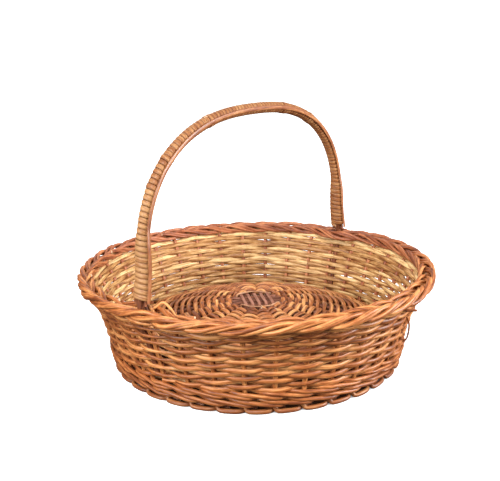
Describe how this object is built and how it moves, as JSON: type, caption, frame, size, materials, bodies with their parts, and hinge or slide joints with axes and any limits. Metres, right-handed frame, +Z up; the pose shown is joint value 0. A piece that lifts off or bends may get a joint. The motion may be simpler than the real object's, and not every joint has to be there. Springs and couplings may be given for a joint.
{
  "type": "woven basket",
  "caption": "Round woven basket with a plaited border, a crowned base and a fixed arch handle wrapped in cane.",
  "frame": {"origin": "on the table under the middle of the basket", "axes": "+Z up; the arch handle stands along X"},
  "size_m": [0.3534, 0.3612, 0.258],
  "materials": {
    "stake_rods": "satin, peeled rod with a fine grain along it",
    "base_sticks": "matt, split faces pale and the rest brown",
    "base_tie_rod": "satin, pale peeled rod",
    "base_weavers": "satin, orange-brown peeled rod",
    "wale_rods": "satin, honey-brown peeled rod",
    "side_weavers": "satin, honey-brown peeled rod, paler inside the basket",
    "handle_rods": "matt, dark brown rod",
    "handle_cane": "glossy varnished cane",
    "handle_leader_strip": "glossy varnished cane, darker"
  },
  "bodies": {
    "root": {"stake_01": "stake_rods", "stake_02": "stake_rods", "stake_03": "stake_rods", "stake_04": "stake_rods", "stake_05": "stake_rods", "stake_06": "stake_rods", "stake_07": "stake_rods", "stake_08": "stake_rods", "stake_09": "stake_rods", "stake_10": "stake_rods", "stake_11": "stake_rods", "stake_12": "stake_rods", "stake_13": "stake_rods", "stake_14": "stake_rods", "stake_15": "stake_rods", "stake_16": "stake_rods", "stake_17": "stake_rods", "stake_18": "stake_rods", "stake_19": "stake_rods", "stake_20": "stake_rods", "stake_21": "stake_rods", "stake_22": "stake_rods", "stake_23": "stake_rods", "stake_24": "stake_rods", "stake_25": "stake_rods", "stake_26": "stake_rods", "stake_27": "stake_rods", "stake_28": "stake_rods", "stake_29": "stake_rods", "stake_30": "stake_rods", "stake_31": "stake_rods", "stake_32": "stake_rods", "stake_33": "stake_rods", "stake_34": "stake_rods", "stake_35": "stake_rods", "stake_36": "stake_rods", "split_stick_1": "base_sticks", "split_stick_2": "base_sticks", "split_stick_3": "base_sticks", "split_stick_4": "base_sticks", "split_stick_5": "base_sticks", "through_stick_1": "base_sticks", "through_stick_2": "base_sticks", "through_stick_3": "base_sticks", "through_stick_4": "base_sticks", "base_tie": "base_tie_rod", "base_weaver_1": "base_weavers", "base_weaver_2": "base_weavers", "wale_rod_1": "wale_rods", "wale_rod_2": "wale_rods", "wale_rod_3": "wale_rods", "side_weaver_1": "side_weavers", "side_weaver_2": "side_weavers", "handle_bow": "handle_rods", "handle_side_rod_right_front": "handle_rods", "handle_side_rod_right_back": "handle_rods", "handle_side_rod_left_front": "handle_rods", "handle_side_rod_left_back": "handle_rods", "handle_winding": "handle_cane", "handle_leader": "handle_leader_strip"}
  },
  "joints": []
}
